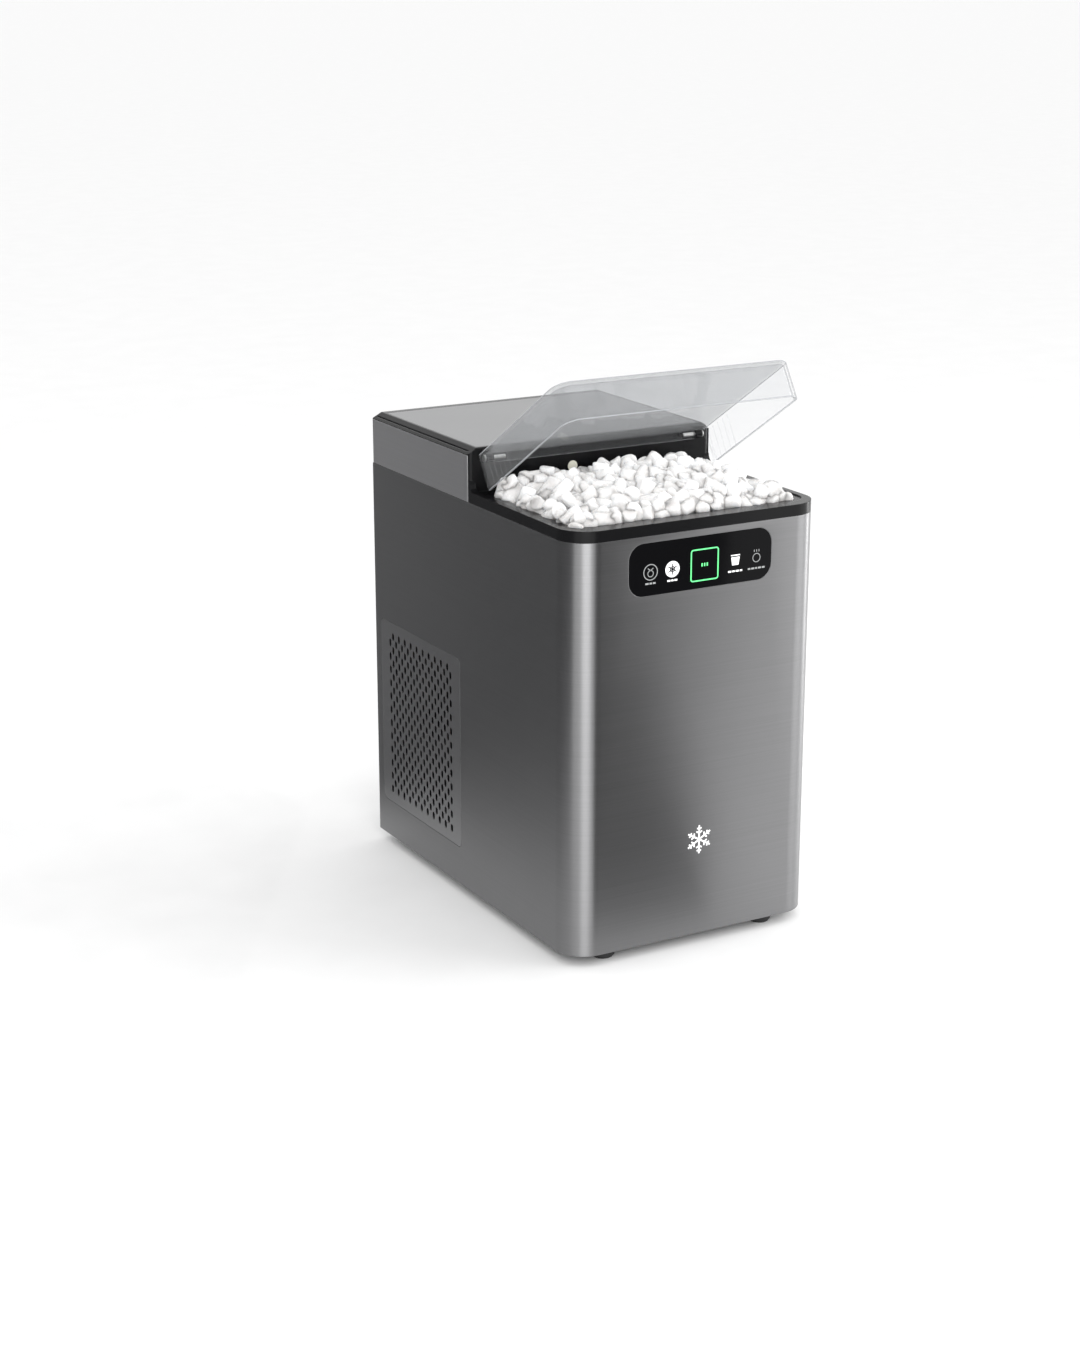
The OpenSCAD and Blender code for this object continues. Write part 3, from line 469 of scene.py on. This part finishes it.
def snowflake_mark():
    """A plain snowflake on the lower front."""
    bm = bmesh.new()
    cx, cz = 3.5 * MM, wrap_lo[2] + 88 * MM
    arm = 13 * MM
    for k in range(6):
        a = math.pi / 2 + k * math.pi / 3
        ux, uz = math.cos(a), math.sin(a)
        bar(bm, cx, cz, cx + arm * ux, cz + arm * uz, 1.5 * MM, FRONT_Y)
        for place, size in ((0.45, 0.26), (0.72, 0.2)):
            for side in (-1, 1):
                b = a + side * math.pi / 3
                x0, z0 = cx + arm * place * ux, cz + arm * place * uz
                x1, z1 = x0 + arm * size * math.cos(b), z0 + arm * size * math.sin(b)
                bar(bm, x0, z0, x1, z1, 1.3 * MM, FRONT_Y)
    # the snowflake print carries a painted glow from its material
    add_piece(bm, "front_mark", "cabinet", PRINT_WHITE_PAINTED_GLOW, smooth=False)


panel_icons()
snowflake_mark()


# ---------------------------------------------------------------- steel bands

def side_trim(side):
    """A thin steel band over the side of the raised housing, with bevelled edges."""
    bm = bmesh.new()
    y0, y1 = HOUSE_Y + 1 * MM, wrap_hi[1] - 2.5 * MM
    z0, z1 = wrap_hi[2] + 0.4 * MM, BAND_TOP - 0.3 * MM
    x_in, x_out, bevel = side * wrap_hi[0], side * (wrap_hi[0] + 0.25 * MM), 0.2 * MM
    inner = [(x_in, y0, z0), (x_in, y1, z0), (x_in, y1, z1), (x_in, y0, z1)]
    outer = [(x_out, y0 + bevel, z0 + bevel), (x_out, y1 - bevel, z0 + bevel),
             (x_out, y1 - bevel, z1 - bevel), (x_out, y0 + bevel, z1 - bevel)]
    prism(bm, inner, outer)
    name = "side_trim_left" if side < 0 else "side_trim_right"
    add_piece(bm, name, "cabinet", TRIM, smooth=False)


for trim_side in (-1, 1):
    side_trim(trim_side)


# ---------------------------------------------------------------- clear lid

# The lid is drawn closed, with its hinge axis at the origin, and then swung open to its angle at rest.
HINGE = Vector(joints["lid_hinge"]["pos_m"])
OPEN = -math.radians(joints["lid_hinge"]["range_deg"][0])
LID_W = 117 * MM             # half its width
LID_L = 160.5 * MM           # from the axis to its front
SKIRT = 30.1 * MM            # foot of the walls, below the axis
PLATE_TOP = 4.5 * MM
PLATE_T = 3 * MM
WALL_T = 2.5 * MM
CORNER = 16 * MM
PLATE_START = -6.5 * MM      # rear edge of the plate; the walls go on to the axis
BARREL_R = 4.5 * MM
BARREL_X = 103 * MM          # half the barrel's length
RIB_PITCH = 9
RIB_DEPTH = 0.8 * MM


def lid_path(inset, steps=14):
    """The lid's side and front outline, from the rear left round to the rear right, taken in by an inset."""
    w, l, r = LID_W - inset, LID_L - inset, CORNER - inset
    half = [(-w, 0), (-w, PLATE_START), (-w, -l * 0.25), (-w, -l * 0.5), (-w, -l + r)]
    half += [(-w + r - r * math.cos(a), -l + r - r * math.sin(a))
             for a in (math.pi / 2 * k / steps for k in range(1, steps + 1))]
    return half + [(-x, y) for x, y in reversed(half)]


def rounded_wall(inset, bulge, top, r, sign, steps=6):
    """(inset, height) pairs of a wall's face: a bevel at the foot, straight up, then round into the plate."""
    foot = [(inset + sign * 0.5 * MM, -SKIRT), (inset + sign * 0.12 * MM, -SKIRT + 0.15 * MM),
            (inset, -SKIRT + bulge), (inset, -SKIRT * 0.5)]
    return foot + [(inset + r - r * math.cos(a), top - r + r * math.sin(a))
                   for a in (math.pi / 2 * k / steps for k in range(steps + 1))]


def lid_mesh():
    """The clear box: outer and inner skins of the walls, and both faces of the plate."""
    bm = bmesh.new()
    outer = rounded_wall(0, 0.6 * MM, PLATE_TOP, 2.6 * MM, 1)
    inner = rounded_wall(WALL_T, 0.6 * MM, PLATE_TOP - PLATE_T, 1.5 * MM, -1)
    rings_out = [[bm.verts.new((x, y, z)) for x, y in lid_path(inset)] for inset, z in outer]
    rings_in = [[bm.verts.new((x, y, z)) for x, y in lid_path(inset)] for inset, z in inner]

    def skin(rings):
        for a, b in zip(rings, rings[1:]):
            for i in range(len(a) - 1):
                bm.faces.new((a[i], a[i + 1], b[i + 1], b[i]))

    def plate(loop):
        n = len(loop)
        for i in range(1, n // 2 - 1):
            bm.faces.new((loop[i], loop[i + 1], loop[n - 2 - i], loop[n - 1 - i]))

    skin(rings_out)
    skin(rings_in)
    skin([rings_out[0], rings_in[0]])
    top, low = rings_out[-1], rings_in[-1]
    plate(top)
    plate(low)
    # rear edge of the plate, the notches beside the brackets, and the rear ends of the walls
    bm.faces.new((top[1], top[-2], low[-2], low[1]))
    bm.faces.new((top[0], top[1], low[1], low[0]))
    bm.faces.new((top[-1], top[-2], low[-2], low[-1]))
    for end in (0, -1):
        bm.faces.new([ring[end] for ring in rings_out] + [ring[end] for ring in reversed(rings_in)])
    bmesh.ops.triangulate(bm, faces=[f for f in bm.faces if len(f.verts) > 4])
    return bm


def hinge_tongue():
    """The lid's barrel with the strip of plate that joins it, on the hinge axis."""
    bm = bmesh.new()
    turn = [math.radians(90 - 270 * k / 30) for k in range(31)]
    outline = [(BARREL_R * math.cos(a), BARREL_R * math.sin(a)) for a in turn]
    outline += [(-BARREL_R, PLATE_TOP - PLATE_T - 0.4 * MM), (PLATE_START, PLATE_TOP - PLATE_T),
                (PLATE_START, PLATE_TOP)]
    prism(bm, [(-BARREL_X, y, z) for y, z in outline], [(BARREL_X, y, z) for y, z in outline])
    return bm


def lid_ribs():
    """Five upright ribs inside each side wall near the hinge, and a bead across the plate."""
    bm = bmesh.new()
    for side in (-1, 1):
        wall, crest = side * (LID_W - WALL_T), side * (LID_W - WALL_T - RIB_DEPTH)
        for i in range(5):
            y = -(9.3 + RIB_PITCH * i) * MM
            outline = [(wall, y - 0.7 * MM), (crest, y - 0.35 * MM),
                       (crest, y + 0.35 * MM), (wall, y + 0.7 * MM)]
            low, high = -SKIRT + 0.8 * MM, -0.6 * MM
            prism(bm, [(x, v, low) for x, v in outline], [(x, v, high) for x, v in outline])
    bead = [(0.8 * MM * math.cos(a), 0.6 * MM * math.sin(a)) for a in (math.pi * k / 8 for k in range(9))]
    y_bead, x_bead = -11 * MM, LID_W - 6 * MM
    prism(bm, [(-x_bead, y_bead + u, PLATE_TOP + v) for u, v in bead],
          [(x_bead, y_bead + u, PLATE_TOP + v) for u, v in bead])
    return bm


def lid_edges():
    """Grey glossy tubes along the lid's moulded edges, under the corner of the plate and in the foot of the walls:
    painted edge lines for the light the clear edges would bend.
    """
    bm = bmesh.new()
    turn = [math.pi / 3 * k for k in range(6)]
    upper = (0.9 * MM, PLATE_TOP - 0.9 * MM, 0.38 * MM)
    lower = (WALL_T / 2, -SKIRT + 0.8 * MM, 0.42 * MM)
    for inset, height, r in (upper, lower):
        rings = [[bm.verts.new((x, y, height + r * math.sin(a)))
                  for x, y in lid_path(inset + r * math.cos(a))] for a in turn]
        for a, b in zip(rings, rings[1:] + rings[:1]):
            for i in range(len(a) - 1):
                bm.faces.new((a[i], a[i + 1], b[i + 1], b[i]))
        for end in (0, -1):
            bm.faces.new([ring[end] for ring in rings])
    return bm


def build_lid():
    """Swings the lid's parts open about the hinge and adds them."""
    place = Matrix.Translation(HINGE) @ Matrix.Rotation(-OPEN, 4, "X")
    shell, tongue, ribs, edges = lid_mesh(), hinge_tongue(), lid_ribs(), lid_edges()
    for bm in (shell, tongue, ribs, edges):
        bmesh.ops.transform(bm, matrix=place, verts=bm.verts)
    clear = MATERIALS["clear_lid"]
    add_piece(shell, "lid_clear", "lid", clear, replaces=("lid_shell",))
    add_piece(tongue, "lid_barrel", "lid", clear)
    add_piece(ribs, "lid_ribs", "lid", clear)
    add_piece(edges, "lid_edges", "lid", EDGE)


build_lid()


# ---------------------------------------------------------------- ice

ICE_SEED = 41
NUGGET_KINDS = 12
RIM_Z = frame_lo[2] + 14.5 * MM      # the rim of the ice bin
random.seed(ICE_SEED)


def nugget_points(segments=14):
    """A stubby cylinder of pressed ice with worn, nearly flat ends: its points and faces."""
    radius = random.uniform(6.0, 7.8) * MM
    half = random.uniform(8.0, 12.5) * MM
    lean = random.uniform(-0.16, 0.16)
    phase = [random.uniform(0, 6.28) for _ in range(3)]
    profile = [(0.66, 0.995), (0.9, 0.965), (0.985, 0.89), (1.0, 0.4)]
    profile = [(r, -z) for r, z in profile] + [(r, z) for r, z in reversed(profile)]
    points = [(0, 0, -half)]
    for share, height in profile:
        z = height * half
        for i in range(segments):
            a = 2 * math.pi * i / segments
            lump = 1 + 0.07 * math.sin(3 * a + phase[0]) + 0.05 * math.sin(2 * a + phase[1] + z * 300)
            r = radius * share * lump
            chip = 0.06 * half * math.sin(2 * a + phase[2]) * share
            points.append((r * math.cos(a) + lean * abs(z), r * math.sin(a), z + chip * height))
    points.append((0, 0, half))
    faces = [(0, 1 + (i + 1) % segments, 1 + i) for i in range(segments)]
    for k in range(len(profile) - 1):
        base = 1 + k * segments
        for i in range(segments):
            j = (i + 1) % segments
            faces.append((base + i, base + j, base + segments + j, base + segments + i))
    last = 1 + (len(profile) - 1) * segments
    faces += [(len(points) - 1, last + i, last + (i + 1) % segments) for i in range(segments)]
    return [Vector(p) for p in points], faces


KINDS = [nugget_points() for _ in range(NUGGET_KINDS)]

# the area that the loose ice covers: half its width, front and rear
BIN_X = 117 * MM
BIN_Y0 = liner_lo[1] + 1 * MM
BIN_Y1 = liner_hi[1] - 6 * MM

# the part of it that is over the open bin, where the ice is several nuggets deep
LINER_X = 98 * MM
LINER_Y0 = liner_lo[1] + 17 * MM
LINER_Y1 = liner_hi[1] - 17 * MM

# room under the closed lid: half its width, front, rear, and height under its plate and under its barrel
ROOM_X = LID_W - WALL_T - 0.8 * MM
ROOM_Y0 = HINGE.y - LID_L + WALL_T + 0.8 * MM
ROOM_Y1 = HOUSE_Y - 1.5 * MM
ROOM_Z = HINGE.z + PLATE_TOP - PLATE_T - 1.5 * MM
BARREL_Z = HINGE.z - 6 * MM

# the column of ice that rises with the basket
BASKET_MID = middle("ice_basket")
BASKET_X = max(84 * MM, (basket_hi[0] - basket_lo[0]) / 2 + 1 * MM)
BASKET_Y = max(41 * MM, (basket_hi[1] - basket_lo[1]) / 2 + 1 * MM)


def heap_height(x, y):
    """Height of the ice: just over the rim at its edges, higher in the middle."""
    u = min(1.0, abs(x) / BIN_X)
    v = min(1.0, abs(y - (BIN_Y0 + BIN_Y1) / 2) / ((BIN_Y1 - BIN_Y0) / 2))
    rear = (y - BIN_Y0) / (BIN_Y1 - BIN_Y0)
    return RIM_Z - 3 * MM + (5 + 12 * rear) * MM * (1 - u ** 4) * (1 - 0.6 * v ** 6)


def in_column(x, y, margin=0.0):
    """True over the basket, at least a margin away from the sides of its column."""
    return abs(x - BASKET_MID.x) < BASKET_X - margin and abs(y - BASKET_MID.y) < BASKET_Y - margin


def scatter_ice():
    """Nugget places by body: one layer over all, three over the bin, more down the sides of the column."""
    step = 14.2 * MM
    layer = 10.5 * MM
    places = {"basket": [], "cabinet": []}
    for depth in range(6):
        rows = int((BIN_Y1 - BIN_Y0 - 11 * MM) / (step * 0.87)) + 1
        for j in range(rows):
            y = BIN_Y0 + 5.5 * MM + j * step * 0.87
            x = -BIN_X + 6 * MM + (step / 2 if (j + depth) % 2 else 0)
            while x < BIN_X - 5.5 * MM:
                px = x + random.uniform(-2.4, 2.4) * MM
                py = y + random.uniform(-2.4, 2.4) * MM
                pz = heap_height(px, py) - depth * layer + random.uniform(-3.2, 3.2) * MM
                spin = Euler([random.uniform(0, 6.28) for _ in range(3)])
                kind = random.randrange(NUGGET_KINDS)
                size = random.uniform(0.82, 1.12)
                column = in_column(px, py)
                near_side = column and not in_column(px, py, 11 * MM)
                inside = abs(px) < LINER_X and LINER_Y0 < py < LINER_Y1
                if depth == 0 or (inside and (depth < 3 or near_side)):
                    places["basket" if column else "cabinet"].append((px, py, pz, spin, kind, size))
                x += step
    return places


def into_room(points, body):
    """The shift that keeps a nugget under the closed lid, and on its own side of the column."""
    lo = [min(p[k] for p in points) for k in range(3)]
    hi = [max(p[k] for p in points) for k in range(3)]
    column = [(BASKET_MID.x - BASKET_X, BASKET_MID.x + BASKET_X),
              (BASKET_MID.y - BASKET_Y, BASKET_MID.y + BASKET_Y)]
    shift = [0.0, 0.0]
    if body == "basket":
        shift = [max(0, c[0] - lo[k]) - max(0, hi[k] - c[1]) for k, c in enumerate(column)]
    elif all(lo[k] < c[1] and hi[k] > c[0] for k, c in enumerate(column)):
        away = [(c[0] - hi[k]) if lo[k] + hi[k] < c[0] + c[1] else (c[1] - lo[k])
                for k, c in enumerate(column)]
        fits = -ROOM_X <= lo[0] + away[0] and hi[0] + away[0] <= ROOM_X
        k = 0 if fits and abs(away[0]) < abs(away[1]) else 1
        shift[k] = away[k]
    x_lo, x_hi = lo[0] + shift[0], hi[0] + shift[0]
    y_lo, y_hi = lo[1] + shift[1], hi[1] + shift[1]
    dx = max(0, -ROOM_X - x_lo) - max(0, x_hi - ROOM_X)
    dy = max(0, ROOM_Y0 - y_lo) - max(0, y_hi - ROOM_Y1)
    top = BARREL_Z if y_hi + dy > HINGE.y - 7 * MM else ROOM_Z
    return Vector((shift[0] + dx, shift[1] + dy, -max(0, hi[2] - top)))


def ice_piece(name, body, places):
    """One mesh of separate nuggets, on its body."""
    verts, faces = [], []
    for x, y, z, spin, kind, size in places:
        turn = Matrix.Translation((x, y, z)) @ spin.to_matrix().to_4x4() @ Matrix.Scale(size, 4)
        points, sides = KINDS[kind]
        base = len(verts)
        placed = [turn @ p for p in points]
        shift = into_room(placed, body)
        verts += [p + shift for p in placed]
        faces += [tuple(base + i for i in side) for side in sides]
    mesh = bpy.data.meshes.new(name)
    mesh.from_pydata(verts, [], faces)
    mesh.polygons.foreach_set("use_smooth", [True] * len(mesh.polygons))
    obj = bpy.data.objects.new(name, mesh)
    bpy.context.scene.collection.objects.link(obj)
    paint(obj, ICE)
    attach(obj, body)


def ice_core(name, body, x0, x1, y0, y1, drop, bottom):
    """Lumpy mass of ice under the loose nuggets."""
    bm = bmesh.new()
    nx, ny = 40, 28
    xs = [x0 + (x1 - x0) * i / nx for i in range(nx + 1)]
    ys = [y0 + (y1 - y0) * j / ny for j in range(ny + 1)]
    top = [[bm.verts.new((x, y, heap_height(x, y) - drop + random.uniform(-1.5, 1.5) * MM)) for x in xs]
           for y in ys]
    low = [[bm.verts.new((v.co.x, v.co.y, bottom)) for v in row] for row in top]
    for grid in (top, low):
        for j in range(ny):
            for i in range(nx):
                bm.faces.new((grid[j][i], grid[j][i + 1], grid[j + 1][i + 1], grid[j + 1][i]))
    edge = [(0, i) for i in range(nx)] + [(j, nx) for j in range(ny)]
    edge += [(ny, i) for i in range(nx, 0, -1)] + [(j, 0) for j in range(ny, 0, -1)]
    for (ja, ia), (jb, ib) in zip(edge, edge[1:] + edge[:1]):
        bm.faces.new((top[ja][ia], top[jb][ib], low[jb][ib], low[ja][ia]))
    add_piece(bm, name, body, ICE)


ice_places = scatter_ice()
ice_piece("ice_over_basket", "basket", ice_places["basket"])
ice_piece("ice_round_basket", "cabinet", ice_places["cabinet"])
ice_core("ice_mass", "basket", BASKET_MID.x - 72 * MM, BASKET_MID.x + 72 * MM,
         BASKET_MID.y - 32 * MM, BASKET_MID.y + 32 * MM, 12 * MM, basket_lo[2] + 4 * MM)


# ---------------------------------------------------------------- camera, floor, light

CAMERA_LENS = 65.16
CAMERA_PLACE = (-1.0941, -1.8566, 0.8591)
CAMERA_YAW = 0.5123          # to the right of straight ahead
CAMERA_PITCH = 0.2977        # downward
FLOOR_HALF = 60
CARD_LOW = 3 * MM            # height of the cards that lie on the floor


def add_camera():
    data = bpy.data.cameras.new("camera")
    data.lens = CAMERA_LENS
    data.sensor_width = 36
    cam = bpy.data.objects.new("camera", data)
    bpy.context.scene.collection.objects.link(cam)
    cam.location = CAMERA_PLACE
    flat = math.cos(CAMERA_PITCH)
    look = Vector((math.sin(CAMERA_YAW) * flat, math.cos(CAMERA_YAW) * flat, -math.sin(CAMERA_PITCH)))
    cam.rotation_mode = "QUATERNION"
    cam.rotation_quaternion = look.to_track_quat("-Z", "Y")
    bpy.context.scene.camera = cam


def add_floor():
    bm = bmesh.new()
    bmesh.ops.create_grid(bm, x_segments=2, y_segments=2, size=FLOOR_HALF)
    mesh = bpy.data.meshes.new("floor")
    bm.to_mesh(mesh)
    bm.free()
    floor = bpy.data.objects.new("floor", mesh)
    bpy.context.scene.collection.objects.link(floor)
    paint(floor, moulded("floor_pale", (0.86, 0.86, 0.86), rough=0.8, grain=200, vary=0.01, edge=0))


def add_softbox(name, place, aim, width, height, power):
    data = bpy.data.lights.new(name, "AREA")
    data.shape = "RECTANGLE"
    data.size = width
    data.size_y = height
    data.energy = power
    light = bpy.data.objects.new(name, data)
    bpy.context.scene.collection.objects.link(light)
    light.location = place
    light.rotation_mode = "QUATERNION"
    light.rotation_quaternion = (Vector(aim) - Vector(place)).to_track_quat("-Z", "Y")


def add_card(name, corners, material):
    """A dark card of the studio, seen only in reflections."""
    bm = bmesh.new()
    bm.faces.new([bm.verts.new(p) for p in corners])
    mesh = bpy.data.meshes.new(name)
    bm.to_mesh(mesh)
    bm.free()
    card = bpy.data.objects.new(name, mesh)
    bpy.context.scene.collection.objects.link(card)
    paint(card, material)
    card.visible_camera = False
    card.visible_diffuse = False
    card.visible_shadow = False
    card.visible_transmission = False


def floor_and_wall(name, near, far, height, material):
    """A card on the floor from the near points to the far ones, and walls that stand on the far ones."""
    add_card(name + "_floor", [(x, y, CARD_LOW) for x, y in near + far], material)
    for i, ((xa, ya), (xb, yb)) in enumerate(zip(far, far[1:])):
        corners = [(xa, ya, CARD_LOW), (xb, yb, CARD_LOW), (xb, yb, height), (xa, ya, height)]
        add_card(f"{name}_wall_{i + 1}", corners, material)


def add_world(strength):
    world = bpy.data.worlds.new("studio")
    world.use_nodes = True
    background = world.node_tree.nodes["Background"]
    background.inputs[0].default_value = (1, 1, 1, 1)
    background.inputs[1].default_value = strength
    bpy.context.scene.world = world


add_camera()
add_floor()
add_world(1.1)
add_softbox("key_left_front", (-1.1, -2.4, 1.0), (-0.1, -0.1, 0.3), 1.3, 1.9, 34)
add_softbox("key_right_front", (2.1, -1.5, 1.2), (0, 0, 0.25), 1.3, 1.6, 24)
add_softbox("strip_right", (1.6, -0.1, 0.6), (0, 0, 0.2), 0.35, 1.6, 10)
floor_and_wall("card_left", [(-0.5, -0.25), (-0.3, 0.06), (-0.15, 0.3)],
               [(-0.6, 2.6), (-1.9, 1.3), (-1.9, -0.95)], 2.3, CARD_GREY)
floor_and_wall("card_front", [(-0.095, -0.265), (0.05, -0.245)],
               [(1.15, -1.85), (0.1, -2.3)], 1.5, CARD_BLACK)
bpy.context.scene.view_settings.view_transform = "Standard"
